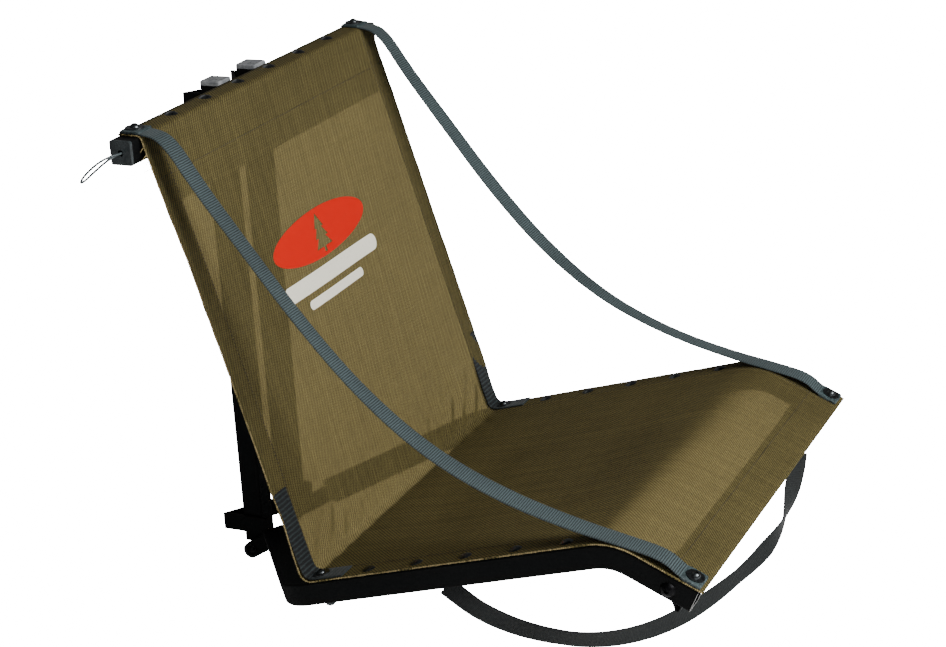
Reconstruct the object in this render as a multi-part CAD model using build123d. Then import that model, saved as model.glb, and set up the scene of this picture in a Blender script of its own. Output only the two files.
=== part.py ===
from build123d import *
import math
import os

# A folding sling seat with a tall back, held against a tree by two notched brackets.
# Sizes are in millimetres. X runs across the seat, -Y is the front and +Z is up.
# The origin lies between the two points of the upper bracket, level with its middle.

# Overall width and height
rail_spacing = 473.6  # between the middles of the seat rails
post_drop = 541.0  # from the top bar's top face to the posts' lower ends

# Square tube, shared by the whole frame
tube = 25.4
tube_wall = 1.6
tube_corner = 2.5

# Cloth and webbing
cloth = 2.0
webbing_width = 25.4
webbing = 1.6
sling_overhang = 0.5  # past the rails' outer faces

# Back frame
bar_overhang = 13.4  # past the rails' outer faces
bar_top = 19.0  # the bar's top face above the origin
post_spacing = 76.2
post_cap_height = 5.0
end_cap_thickness = 3.0
cap_neck = 12.0
plug_length = 22.0  # of the threaded plugs in the front crossbar's ends

# Brackets that bear on the tree
bracket_plate = 3.2
bracket_height = 20.0
bracket_angle = 35.0  # of each wing, from the X axis
lower_bracket_rise = 22.5  # from the posts' lower ends to the bracket's middle
lower_flange_reach = 8.0  # past the posts' front faces
upper_bracket_drop = bar_top

# Hinge: a lug on each rail's leg pivots on the foot of the nearer post
hinge_gap = 1.5  # between the lower bracket's flanges and the lugs
lug_width = 19.0
lug_plate = 6.0
foot_drop = 7.0  # from the posts' lower ends to the pivots
foot_width = 12.0
spacer_wall = 2.0

# Seat rails, by the corners of their centre line
heel_forward = 106.5  # from the bar's middle to the heel, where the sizes along a rail start
heel_drop = 496.7  # from the bar's top face to the heel
rail_run = 405.1  # heel to front corner
bend_along = 30.0  # from the heel to the corner where a rail turns inward
leg_turn = 53.3  # of the leg, from the rail's line
leg_end_offset = 4.5  # from a lug's outer face to the middle of the leg's end
rail_lip = 91.6  # front corner to the open end
seat_slope = 16.2
lip_slope = 23.5
heel_radius = 38.0
lip_radius = 60.0

# Fasteners
rivet_radius = 2.4
rivet_head_radius = 7.2
rivet_head_height = 2.6
rivet_pitch_seat = 57.6
bar_fastener_count = 8  # the two outer ones are screws through the arm straps
first_rivet = 58.0  # from the corner bolt, along the rail
crook = 52.6  # from the heel to the sling's crook, along the rail
corner_bolt_along = 69.0  # from the heel
front_bolt_along = 81.0  # from the knee corner
crossbar_along = 64.0  # from the knee corner
crossbar_sink = 2.2  # keeps the crossbar and its loops clear of the cloth
bolt_radius = 3.0
bolt_head_radius = 5.0
bolt_head_height = 3.8
washer_radius = 9.6
washer = 1.2
pivot_radius = 4.0
pivot_head_radius = 7.5
pivot_head_height = 4.0
button_radius = 8.0
button_height = 4.4
bush_wall = 1.5
nut_height = 5.0

# Clearances
hole_gap = 0.15
running_gap = 0.05
free_gap = 0.4

# Sling and webbing ends
sling_rear_lap = 11.5  # behind the bar's middle
sling_front_lap = 4.0  # past the rails' open ends
bar_edge_radius = 3.5
crook_radius = 4.0
crook_clearance = 6.0  # between the sling's back and seat at the crook
crook_height = 258.0  # of the part of the back panel that folds with the seat
patch_up = 99.0
patch_forward = 48.0
doubled_length = 22.0  # of each arm strap's folded end
loop_width = 25.4
loop_drop = 36.0  # from the front crossbar's middle to a loop's tip
loop_clearance = 0.6  # from a rail's inner face to a gear loop
carry_loop_gap = 5.6  # from the right gear loop to the carry strap's loop
anchor_along = 206.0  # from the left rail's heel to the carry strap's tab
anchor_drop = 17.0  # from the rail's middle to the lower edge of the carry strap's tab
anchor_thickness = 4.0

# Cords
cable_diameter = 2.4
ferrule_radius = 4.0
ferrule_length = 12.0
carry_diameter = 7.2  # a round cord with the same section as the flat strap

# Derived places
half_tube = tube / 2
sling_width = rail_spacing + tube + 2 * sling_overhang
bar_length = rail_spacing + tube + 2 * bar_overhang
inner_tube = tube - 2 * tube_wall
plug_side = inner_tube - 2 * hole_gap
post_rear = -(
    tube * math.tan(math.radians(bracket_angle))
    + bracket_plate / math.cos(math.radians(bracket_angle))
    + free_gap
)
post_y = post_rear - half_tube
bar_y = post_rear - tube - half_tube
bar_z = bar_top - half_tube
post_bottom = bar_top - post_drop
post_outer = post_spacing / 2 + half_tube
hinge_y = post_y
hinge_z = post_bottom - foot_drop
rail_x = rail_spacing / 2
sides = {"left": -1, "right": 1}

slope = math.radians(seat_slope)
dip = math.radians(lip_slope)
run_way = Vector(0, -math.cos(slope), math.sin(slope))
run_up = Vector(0, math.sin(slope), math.cos(slope))
lip_way = Vector(0, -math.cos(dip), -math.sin(dip))
lip_up = Vector(0, -math.sin(dip), math.cos(dip))
heel = Vector(0, bar_y - heel_forward, bar_top - heel_drop)
knee = heel + run_way * rail_run
rail_tip = knee + lip_way * rail_lip


def on_run(along, above):
    """A point over the rail's long straight, measured from the heel."""
    return heel + run_way * along + run_up * above


def on_lip(along, above):
    """A point over the rail's front lip, measured from the knee corner."""
    return knee + lip_way * along + lip_up * above


def at_x(point, x):
    return Vector(x, point.Y, point.Z)


def section_on(path, width, height, corner=0.0):
    """A section across the start of a path that lies in a YZ plane."""
    plane = Plane(origin=path @ 0, x_dir=(1, 0, 0), z_dir=path % 0)
    flat = RectangleRounded(width, height, corner) if corner else Rectangle(width, height)
    return plane * flat


def straight_tube(start, end):
    """A straight square tube, with its faces square to the axes."""
    way = (Vector(*end) - Vector(*start)).normalized()
    side = Vector(0, 1, 0) if abs(way.X) > 0.5 else Vector(1, 0, 0)
    plane = Plane(origin=start, x_dir=side, z_dir=way)
    long = (Vector(*end) - Vector(*start)).length
    outer = extrude(plane * RectangleRounded(tube, tube, tube_corner), long)
    inner = extrude(plane * RectangleRounded(inner_tube, inner_tube, tube_corner - tube_wall), long)
    return outer - inner


def rod(start, way, radius, length):
    return extrude(Plane(origin=start, z_dir=way) * Circle(radius), length)


def ring(start, way, outer, inner, length):
    return extrude(Plane(origin=start, z_dir=way) * (Circle(outer) - Circle(inner)), length)


def dome(start, way, radius, height):
    """A low round head that stands on start."""
    side = Vector(0, 0, 1).cross(way) if abs(way.Z) < 0.5 else Vector(1, 0, 0)
    plane = Plane(origin=start, x_dir=side, z_dir=side.cross(way))
    ball = (radius**2 + height**2) / (2 * height)
    top = RadiusArc((radius, 0), (0, height), -ball)
    profile = make_face([Line((0, 0), (radius, 0)), top, Line((0, height), (0, 0))])
    return revolve(plane * profile, Axis(start, way))


def rivet(seat, way, grip):
    """A blind rivet whose head stands on seat and whose tail swells past the grip."""
    head = dome(seat, way, rivet_head_radius, rivet_head_height)
    shank = rod(seat, -way, rivet_radius, grip + 4)
    tail = rod(seat - way * (grip + 0.3), -way, rivet_radius + 0.9, 3.7)
    return head + shank + tail


def screw(seat, way, length, shank=bolt_radius, head=bolt_head_radius, height=bolt_head_height):
    """A button head screw with a hexagon socket."""
    cap = dome(seat, way, head, height)
    socket_floor = seat + way * (height * 0.4)
    socket = extrude(Plane(origin=socket_floor, z_dir=way) * RegularPolygon(head * 0.38, 6), height)
    return cap - socket + rod(seat, -way, shank, length)


def hex_nut(seat, way, shank):
    outline = RegularPolygon(shank * 1.9, 6, rotation=30)
    block = extrude(Plane(origin=seat, z_dir=way) * outline, nut_height)
    return block - rod(seat, way, shank + hole_gap / 2, nut_height)


def drill(shape, holes):
    """Cuts a list of (start, way, radius, length) holes."""
    for start, way, radius, length in holes:
        shape = shape - rod(start, way, radius, length)
    return shape


def mirrored(shapes):
    """Each left-hand shape with its right-hand twin."""
    return [s for shape in shapes for s in (shape, mirror(shape, Plane.YZ))]


def group(shapes):
    return Compound(children=[shape.solid() for shape in shapes])


parts = {}
up = Vector(0, 0, 1)
across = Vector(1, 0, 0)

# Stack heights where the cloth is fastened
bar_cloth_top = bar_top + cloth
bar_strap_top = bar_cloth_top + free_gap + 2 * webbing
rail_cloth_top = half_tube + cloth
rail_patch_top = rail_cloth_top + free_gap + webbing
rail_strap_top = rail_cloth_top + free_gap + 2 * webbing
bar_pitch = rail_spacing / (bar_fastener_count - 1)
bar_rivet_x = [bar_pitch * i - rail_x for i in range(1, bar_fastener_count - 1)]
seat_rivet_along = [corner_bolt_along + first_rivet + rivet_pitch_seat * i for i in range(5)]

# Top bar and posts
bar = straight_tube((-bar_length / 2, bar_y, bar_z), (bar_length / 2, bar_y, bar_z))
bar_holes = [(Vector(x, bar_y, bar_z), up, rivet_radius + hole_gap, tube) for x in bar_rivet_x]
bar_holes += [
    (Vector(x, bar_y, bar_z), up, bolt_radius + hole_gap, tube) for x in (-rail_x, rail_x)
]
parts["top_bar"] = drill(bar, bar_holes)

cable_exit = Vector(-bar_length / 2 - end_cap_thickness, bar_y, bar_z)


def end_cap(side):
    face_x = side * bar_length / 2
    way = Vector(side, 0, 0)
    face = Plane(origin=(face_x, bar_y, bar_z), x_dir=(0, 1, 0), z_dir=way)
    plate = extrude(face * RectangleRounded(tube, tube, tube_corner), end_cap_thickness)
    plate = chamfer(plate.faces().sort_by(Axis.X)[-1 if side > 0 else 0].edges(), 0.8)
    neck = extrude(face * RectangleRounded(plug_side, plug_side, 0.8), -cap_neck)
    return plate + neck


caps = [end_cap(-1), end_cap(1)]
cable_hole = Vector(-bar_length / 2 - 20, bar_y, bar_z)
caps[0] = caps[0] - rod(cable_hole, across, cable_diameter * 1.35, 60)
parts["top_bar_end_caps"] = group(caps)

for name, side in sides.items():
    x = side * post_spacing / 2
    post = straight_tube((x, post_y, post_bottom), (x, post_y, bar_top))
    parts[f"post_{name}"] = post


def post_cap(x):
    floor = Plane(origin=(x, post_y, bar_top))
    lid = extrude(floor * RectangleRounded(tube, tube, tube_corner), post_cap_height)
    lid = chamfer(lid.faces().sort_by(Axis.Z)[-1].edges(), 1.2)
    return lid + extrude(floor * RectangleRounded(plug_side, plug_side, 0.8), -cap_neck)


parts["post_caps"] = group([post_cap(-post_spacing / 2), post_cap(post_spacing / 2)])


# Brackets: a plate folded to an M in plan, with its two points towards the tree
def tree_bracket(outer, flange_front, z, slant):
    """outer is half the width over the flanges, and flange_front is where they end."""
    tangent = math.tan(math.radians(bracket_angle))
    thick_y = bracket_plate / math.cos(math.radians(bracket_angle))
    notch = -post_outer * tangent
    inner = outer - bracket_plate
    floor = Plane(origin=(0, 0, z - bracket_height / 2))
    half = [
        (0, notch),
        (outer, notch + outer * tangent),
        (outer, flange_front),
        (inner, flange_front),
        (inner, notch + inner * tangent - thick_y),
        (0, notch - thick_y),
    ]
    right = extrude(floor * make_face(Polyline(*half, close=True)), bracket_height)
    plate = right + mirror(right, Plane.YZ)
    if slant:
        low = z - bracket_height / 2
        wedge = [(flange_front, low), (flange_front + slant, low), (flange_front, low + slant)]
        face = Plane.YZ * make_face(Polyline(*wedge, close=True))
        plate = plate - extrude(face, outer * 1.2, both=True)
    return plate


lower_outer = post_outer + bracket_plate
lower_front = post_rear - tube - lower_flange_reach
lower_z = post_bottom + lower_bracket_rise
parts["upper_tree_bracket"] = tree_bracket(post_outer, post_rear, bar_top - upper_bracket_drop, 0)

parts["lower_tree_bracket"] = tree_bracket(lower_outer, lower_front, lower_z, 7.0)


def post_foot(x):
    """A plug in the post's lower end, with a rounded lug for the pivot bolt."""
    ceiling = Plane(origin=(x, post_y, post_bottom))
    plug = extrude(ceiling * RectangleRounded(plug_side, plug_side, 0.8), cap_neck)
    web = Pos(x, post_y, post_bottom - foot_drop / 2) * Box(foot_width, lug_width, foot_drop)
    end = rod(Vector(x - foot_width / 2, hinge_y, hinge_z), across, lug_width / 2, foot_width)
    foot = plug + web + end
    return foot - rod(Vector(x - tube, hinge_y, hinge_z), across, pivot_radius + hole_gap, 2 * tube)


parts["post_feet"] = group([post_foot(-post_spacing / 2), post_foot(post_spacing / 2)])

# Seat rails: a leg that runs inward to its post, a long straight and a lip that dips
rail_outer = rail_x + half_tube
rail_inner = rail_x - half_tube
lug_inner = lower_outer + hinge_gap
lug_outer = lug_inner + lug_plate
leg_end_x = lug_outer + leg_end_offset
leg_back = (rail_x - leg_end_x) / math.tan(math.radians(leg_turn))
leg_end = at_x(on_run(bend_along - leg_back, 0), leg_end_x)
rail_corners = [at_x(rail_tip, rail_x), at_x(knee, rail_x), at_x(on_run(bend_along, 0), rail_x)]
rail_path = FilletPolyline(*rail_corners, leg_end, radius=[lip_radius, heel_radius])
rail_solid = sweep(section_on(rail_path, tube, tube, tube_corner), rail_path)
rail_bore = sweep(section_on(rail_path, inner_tube, inner_tube, tube_corner - tube_wall), rail_path)
rail_blank = rail_solid - rail_bore
print("rail volume over section times length", round(rail_solid.volume / (tube**2 * rail_path.length), 4))


def rail(side):
    x = side * rail_x
    shape = rail_blank if side > 0 else mirror(rail_blank, Plane.YZ)
    bar_hole = at_x(on_lip(crossbar_along, -crossbar_sink), x - tube)
    holes = [(bar_hole, across, pivot_radius + hole_gap, 2 * tube)]
    for along in seat_rivet_along:
        holes.append((at_x(on_run(along, 0), x), run_up, rivet_radius + hole_gap, tube))
    corner = at_x(on_run(corner_bolt_along, -tube), x)
    holes.append((corner, run_up, bolt_radius + hole_gap, 2 * tube))
    front = at_x(on_lip(front_bolt_along, 0), x)
    holes.append((front, lip_up, bolt_radius + hole_gap, tube))
    return drill(shape, holes)


for name, side in sides.items():
    parts[f"rail_{name}"] = rail(side)

# Each lug is a plate welded to the leg's end, with a bush that turns on the pivot bolt
bush_bore = pivot_radius + running_gap
bush_outer = bush_bore + bush_wall
bush_lip = bush_outer + 2.4
flange = hinge_gap - free_gap


def hinge_lug():
    long = math.hypot(leg_end.Y - hinge_y, leg_end.Z - hinge_z)
    turn = math.degrees(math.atan2(leg_end.Z - hinge_z, leg_end.Y - hinge_y))
    outline = Rot(0, 0, turn) * Pos(long / 2, 0) * SlotCenterToCenter(long, lug_width)
    blank = Pos(lug_inner, 0, 0) * extrude(Plane.YZ * Pos(hinge_y, hinge_z) * outline, lug_plate)
    plate = (blank - rail_solid).solids().sort_by(SortBy.VOLUME)[-1]
    return plate - rod(Vector(lug_inner - 1, hinge_y, hinge_z), across, bush_outer, lug_plate + 2)


def pivot_bush():
    start = Vector(lug_inner - flange, hinge_y, hinge_z)
    body = ring(start, across, bush_outer, bush_bore, lug_plate + 2 * flange)
    inner_flange = ring(start, across, bush_lip, bush_bore, flange)
    outer_start = Vector(lug_outer, hinge_y, hinge_z)
    return body + inner_flange + ring(outer_start, across, bush_lip, bush_bore, flange)


parts["hinge_lugs"] = group(mirrored([hinge_lug()]))
parts["pivot_bushes"] = group(mirrored([pivot_bush()]))

# A spacer fills the way from each foot to the lug, and the pivot bolt passes through all three
foot_inner = post_spacing / 2 - foot_width / 2
foot_outer = post_spacing / 2 + foot_width / 2
spacer_bore = pivot_radius + hole_gap
spacer_start = Vector(foot_outer, hinge_y, hinge_z)
spacer = ring(spacer_start, across, spacer_bore + spacer_wall, spacer_bore, lower_outer - foot_outer)
parts["pivot_spacers"] = group(mirrored([spacer]))
pivot_seat = Vector(lug_outer + flange + free_gap, hinge_y, hinge_z)
pivot_long = pivot_seat.X - foot_inner + nut_height + 2
pivot_bolt = screw(
    pivot_seat, across, pivot_long, pivot_radius, pivot_head_radius, pivot_head_height
)
parts["pivot_bolts"] = group(mirrored([pivot_bolt]))
nut_seat = Vector(foot_inner, hinge_y, hinge_z)
parts["pivot_nuts"] = group(mirrored([hex_nut(nut_seat, -across, pivot_radius)]))

# Front crossbar, square to the lip, held by a button head screw at each end
front_middle = on_lip(crossbar_along, -crossbar_sink)
front_y, front_z = front_middle.Y, front_middle.Z
lip_plane = Plane(origin=(-rail_inner, front_y, front_z), x_dir=lip_way, z_dir=across)
front_blank = extrude(lip_plane * RectangleRounded(tube, tube, tube_corner), 2 * rail_inner)
front_bore = extrude(
    lip_plane * RectangleRounded(inner_tube, inner_tube, tube_corner - tube_wall), 2 * rail_inner
)
parts["front_crossbar"] = front_blank - front_bore
front_end = Vector(rail_inner, front_y, front_z)
front_plug_plane = Plane(origin=front_end, x_dir=lip_way, z_dir=across)
front_plug = extrude(front_plug_plane * RectangleRounded(plug_side, plug_side, 0.8), -plug_length)
front_plug = front_plug - rod(front_end - across * 30, across, pivot_radius + hole_gap / 2, 60)
parts["front_crossbar_plugs"] = group(mirrored([front_plug]))
button_seat = Vector(rail_outer, front_y, front_z)
button = screw(button_seat, across, tube + 18, pivot_radius, button_radius, button_height)
parts["front_crossbar_screws"] = group(mirrored([button]))


# Webbing loops round the front crossbar
def webbing_loop(x):
    """A flat loop that goes over the crossbar and meets in a tip below it."""
    plane = Plane.YZ
    turn = math.degrees(math.atan2(lip_way.Z, lip_way.Y))
    drop = Pos(front_y, front_z - loop_drop)
    outlines = []
    for grow, tip in ((webbing + hole_gap, 3.0), (hole_gap, 3.0 - webbing)):
        bar_shape = Pos(front_y, front_z) * Rot(0, 0, turn) * Rectangle(tube + 2 * grow, tube + 2 * grow)
        outlines.append(make_hull([*bar_shape.edges(), *(drop * Circle(tip)).edges()]))
    band = extrude(plane * (outlines[0] - outlines[1]), loop_width)
    return Pos(x - loop_width / 2, 0, 0) * band


gear_loop_x = rail_inner - loop_clearance - loop_width / 2
carry_loop_x = gear_loop_x - loop_width - carry_loop_gap
parts["gear_loops"] = group([webbing_loop(-gear_loop_x), webbing_loop(gear_loop_x)])
parts["carry_strap_loop"] = webbing_loop(carry_loop_x)

# Sling: the middle surface of one cloth, in three solids: the back panel, the strip over
# the crook that folds with the seat, and the seat panel
crook_point = on_run(crook, half_tube + cloth / 2)
bar_rear = Vector(0, bar_y + sling_rear_lap, bar_top + cloth / 2)
bar_edge = Vector(0, bar_y - half_tube - cloth / 2, bar_top + cloth / 2)
back_way = (crook_point - bar_edge).normalized()
back_front = Vector(0, back_way.Z, -back_way.Y)
back_end = crook_point - back_way * crook_height
back_path = FilletPolyline(bar_rear, bar_edge, back_end, radius=bar_edge_radius)


def on_back(below, proud):
    """A point in front of the back panel, measured up from the crook."""
    return crook_point - back_way * below + back_front * proud


sling_back = sweep(section_on(back_path, sling_width, cloth), back_path)
back_holes = [(Vector(x, bar_y, bar_z), up, rivet_radius + hole_gap, tube) for x in bar_rivet_x]
for x in (-rail_x, rail_x):
    back_holes.append((Vector(x, bar_y, bar_z), up, bolt_radius + hole_gap, tube))
parts["sling_back"] = drill(sling_back, back_holes)
crook_path = Line(back_end + back_way * free_gap, crook_point - back_way * crook_clearance)
parts["sling_crook"] = sweep(section_on(crook_path, sling_width, cloth), crook_path)

cloth_middle = half_tube + cloth / 2
lip_long = rail_lip + sling_front_lap
seat_path = FilletPolyline(
    on_run(crook + 1.0, cloth_middle),
    on_run(rail_run, 0) + (run_up + lip_up).normalized() * cloth_middle / math.cos((slope + dip) / 2),
    on_lip(lip_long, cloth_middle),
    radius=lip_radius + cloth_middle,
)
sling_seat = sweep(section_on(seat_path, sling_width, cloth), seat_path)
seat_holes = []
for side in (-1, 1):
    x = side * rail_x
    for along in seat_rivet_along:
        seat_holes.append((at_x(on_run(along, 0), x), run_up, rivet_radius + hole_gap, tube))
    seat_holes.append((at_x(on_run(corner_bolt_along, 0), x), run_up, bolt_radius + hole_gap, tube))
    seat_holes.append((at_x(on_lip(front_bolt_along, 0), x), lip_up, bolt_radius + hole_gap, tube))
parts["sling_seat"] = drill(sling_seat, seat_holes)

# Rivets through the cloth
rivet_grip = cloth + tube_wall
bar_rivets = [rivet(Vector(x, bar_y, bar_cloth_top), up, rivet_grip) for x in bar_rivet_x]
parts["top_bar_rivets"] = group(bar_rivets)
for name, side in sides.items():
    rail_rivets = [
        rivet(at_x(on_run(along, rail_cloth_top), side * rail_x), run_up, rivet_grip)
        for along in seat_rivet_along
    ]
    parts[f"rail_rivets_{name}"] = group(rail_rivets)

# Screws and washers over the strap ends and the corner patches
bar_bolt_seat = Vector(rail_x, bar_y, bar_strap_top)
corner_seat = at_x(on_run(corner_bolt_along, rail_patch_top), rail_x)
front_seat = at_x(on_lip(front_bolt_along, rail_strap_top), rail_x)
bolt_places = {
    "top_strap": (bar_bolt_seat, up),
    "corner": (corner_seat, run_up),
    "front_strap": (front_seat, lip_up),
}
nut_under = {
    "top_strap": bar_top - tube_wall - bar_strap_top,
    "corner": -half_tube - rail_patch_top,
    "front_strap": half_tube - tube_wall - rail_strap_top,
}
for name, (seat, way) in bolt_places.items():
    plate = ring(seat, way, washer_radius, bolt_radius + hole_gap, washer)
    reach = washer - nut_under[name] + nut_height + 1.5
    parts[f"{name}_washers"] = group(mirrored([plate]))
    parts[f"{name}_screws"] = group(mirrored([screw(seat + way * washer, way, reach)]))
    nut = hex_nut(seat + way * nut_under[name], -way, bolt_radius)
    parts[f"{name}_nuts"] = group(mirrored([nut]))

# Corner patches: webbing that lines the crook over each rail
patch_proud = cloth / 2 + free_gap + webbing / 2
patch_corner = crook_point + (back_front + run_up).normalized() * patch_proud * 1.4
patch_path = FilletPolyline(
    on_back(patch_up, patch_proud),
    patch_corner,
    on_run(crook + patch_forward, rail_cloth_top + free_gap + webbing / 2),
    radius=crook_radius,
)
patch_hole = (on_run(corner_bolt_along, 0), run_up, bolt_radius + hole_gap, tube)
patch = sweep(section_on(patch_path, webbing_width, webbing), patch_path)
patch = drill(patch, [patch_hole])
for name, side in sides.items():
    parts[f"corner_patch_{name}"] = Pos(side * rail_x, 0, 0) * patch

# Arm straps: the route of the webbing's middle surface, as (Y, Z) pairs
strap_lay = cloth + free_gap + webbing / 2
front_strap_end = on_lip(rail_lip, half_tube + strap_lay)
front_strap_bend = on_lip(rail_lip - doubled_length, half_tube + strap_lay)
arm_route = [
    (bar_y + 10.5, bar_top + strap_lay),
    (bar_y - 14.0, bar_top + strap_lay + 0.1),
    (bar_y - 38.0, bar_top - 4.0),
    (bar_y - 66.0, bar_top - 48.0),
    (bar_y - 112.0, bar_top - 108.0),
    (bar_y - 170.0, bar_top - 184.0),
    (bar_y - 232.0, bar_top - 252.0),
    (bar_y - 302.0, bar_top - 307.0),
    (bar_y - 378.0, bar_top - 342.0),
    (bar_y - 454.0, bar_top - 363.0),
    (bar_y - 518.0, bar_top - 374.5),
    (bar_y - 550.0, bar_top - 382.0),
    (front_strap_bend.Y, front_strap_bend.Z),
    (front_strap_end.Y, front_strap_end.Z),
]


def arc_radii(points):
    """The largest arc that each corner's shorter run allows."""
    radii = []
    for before, here, after in zip(points, points[1:], points[2:]):
        first, second = here - before, after - here
        half_turn = math.radians(first.get_angle(second)) / 2
        radii.append(0.45 * min(first.length, second.length) / math.tan(half_turn))
    return radii


def corded(name, points, section_area, make):
    """Sweeps a section along the route and compares its volume with its length."""
    radii = arc_radii(points)
    path = FilletPolyline(*points, radius=radii)
    shape = make(path)
    print(name, "length", round(path.length, 1), "radii", [round(r, 1) for r in radii])
    print(name, "volume over section times length", round(shape.volume / (section_area * path.length), 4))
    return shape


def flat_strap(path):
    return sweep(section_on(path, webbing_width, webbing), path)


def round_cord(diameter):
    def make(path):
        return sweep(Plane(origin=path @ 0, z_dir=path % 0) * Circle(diameter / 2), path)

    return make


arm_points = [Vector(0, y, z) for y, z in arm_route]
arm_strap = corded("arm strap", arm_points, webbing_width * webbing, flat_strap)
top_fold = Pos(0, arm_points[0].Y - doubled_length / 2, bar_strap_top - webbing / 2)
arm_strap = arm_strap + top_fold * Box(webbing_width, doubled_length, webbing)
fold_middle = on_lip(rail_lip - doubled_length / 2, rail_strap_top - webbing / 2)
front_fold = Plane(origin=fold_middle, x_dir=(1, 0, 0), z_dir=lip_up) * Box(
    webbing_width, doubled_length, webbing
)
arm_strap = arm_strap + front_fold
arm_strap = drill(
    arm_strap,
    [
        (Vector(0, bar_y, bar_z), up, bolt_radius + hole_gap, 2 * tube),
        (on_lip(front_bolt_along, 0), lip_up, bolt_radius + hole_gap, 2 * tube),
    ],
)
for name, side in sides.items():
    parts[f"arm_strap_{name}"] = Pos(side * rail_x, 0, 0) * arm_strap

# Carry strap: hangs from a tab inside the left rail to the loop on the front crossbar
anchor_at = at_x(on_run(anchor_along, 0), -rail_inner)
tab = Pos(anchor_at.X + anchor_thickness / 2, anchor_at.Y, anchor_at.Z - anchor_drop / 2 + 4)
anchor = tab * Box(anchor_thickness, webbing_width, anchor_drop + 8)
anchor = anchor - rod(anchor_at - across, across, bolt_radius + hole_gap, 10)
parts["carry_strap_tab"] = anchor
tab_screw_seat = anchor_at + across * anchor_thickness
parts["carry_strap_screw"] = screw(tab_screw_seat, across, anchor_thickness + tube_wall + 8)
parts["rail_left"] = drill(
    parts["rail_left"], [(anchor_at - across * 6, across, bolt_radius + hole_gap, 12)]
)

carry_route = [
    (-222.0, -365.0, -441.5),
    (-219.0, -378.0, -453.0),
    (-207.0, -390.0, -471.0),
    (-186.0, -403.0, -492.0),
    (-158.0, -418.0, -515.0),
    (-124.0, -437.0, -538.0),
    (-84.0, -460.0, -560.0),
    (-38.0, -487.0, -575.0),
    (12.0, -516.0, -580.0),
    (60.0, -545.0, -571.0),
    (100.0, -568.0, -557.0),
    (134.0, -588.0, -540.0),
    (156.0, -601.0, -519.0),
    (167.0, -608.0, -493.0),
    (173.0, -612.0, -467.0),
    (177.0, -615.0, -447.0),
    (179.8, -615.5, -432.0),
]
carry_points = [Vector(*p) for p in carry_route]
carry_area = math.pi * carry_diameter**2 / 4
parts["carry_strap"] = corded("carry strap", carry_points, carry_area, round_cord(carry_diameter))

# Cable loop: both strands leave the left end cap and are held by a ferrule inside the bar
ferrule_x = -bar_length / 2 + 14.2
cable_route = [
    (-248.9, -1.4, 0.2),
    (-258.0, -1.35, -0.1),
    (-269.0, -1.0, 0.3),
    (-281.0, 3.0, 0.6),
    (-292.0, 8.5, -2.4),
    (-301.0, 14.5, -8.6),
    (-306.5, 19.5, -15.0),
    (-305.5, 23.5, -20.8),
    (-299.5, 22.5, -20.5),
    (-291.0, 16.5, -13.5),
    (-280.0, 7.4, -4.2),
    (-269.5, 1.7, -0.7),
    (-259.0, 1.5, -0.3),
    (-248.9, 1.4, -0.1),
]
cable_points = [Vector(x, bar_y + y, bar_z + z) for x, y, z in cable_route]
cable_area = math.pi * cable_diameter**2 / 4
parts["cable_loop"] = corded("cable loop", cable_points, cable_area, round_cord(cable_diameter))
ferrule_start = Vector(ferrule_x, bar_y, bar_z)
parts["cable_ferrule"] = rod(ferrule_start, across, ferrule_radius, ferrule_length)

os.makedirs("parts", exist_ok=True)
for name, shape in parts.items():
    export_step(shape, f"parts/{name}.step")
print(len(parts), "nodes")
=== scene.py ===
import math

import bmesh
import bpy
import numpy as np
from mathutils import Matrix, Vector


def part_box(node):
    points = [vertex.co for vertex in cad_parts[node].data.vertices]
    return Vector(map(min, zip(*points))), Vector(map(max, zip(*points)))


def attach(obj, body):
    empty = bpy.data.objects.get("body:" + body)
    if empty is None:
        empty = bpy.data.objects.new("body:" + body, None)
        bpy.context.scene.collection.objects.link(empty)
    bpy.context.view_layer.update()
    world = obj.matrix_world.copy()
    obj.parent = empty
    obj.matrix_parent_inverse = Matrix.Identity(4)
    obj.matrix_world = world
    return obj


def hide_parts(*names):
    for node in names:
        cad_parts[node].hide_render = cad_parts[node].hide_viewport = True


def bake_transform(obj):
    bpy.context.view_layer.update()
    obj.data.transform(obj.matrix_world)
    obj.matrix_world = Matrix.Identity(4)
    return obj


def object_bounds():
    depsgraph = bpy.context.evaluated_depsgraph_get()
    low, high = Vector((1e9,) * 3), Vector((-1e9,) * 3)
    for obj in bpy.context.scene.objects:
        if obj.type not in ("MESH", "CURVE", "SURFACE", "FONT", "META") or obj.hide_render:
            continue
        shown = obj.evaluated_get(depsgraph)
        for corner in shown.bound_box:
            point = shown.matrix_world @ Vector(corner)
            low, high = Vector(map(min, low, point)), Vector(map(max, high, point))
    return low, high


# A folding sling seat held against a tree: mesh sling, square tube frame and webbing.
# X runs across the seat, -Y is the front and +Z is up, in metres.

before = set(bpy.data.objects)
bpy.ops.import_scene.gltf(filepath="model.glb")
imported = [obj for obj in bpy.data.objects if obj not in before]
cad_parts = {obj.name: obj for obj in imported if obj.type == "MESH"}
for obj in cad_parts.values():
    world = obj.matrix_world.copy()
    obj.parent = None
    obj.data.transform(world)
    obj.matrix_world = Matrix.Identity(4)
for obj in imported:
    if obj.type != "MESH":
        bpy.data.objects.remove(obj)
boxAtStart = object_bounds()
backFrame, seatFrame = "back_frame", "seat_frame"
print("frame loaded")

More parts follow.
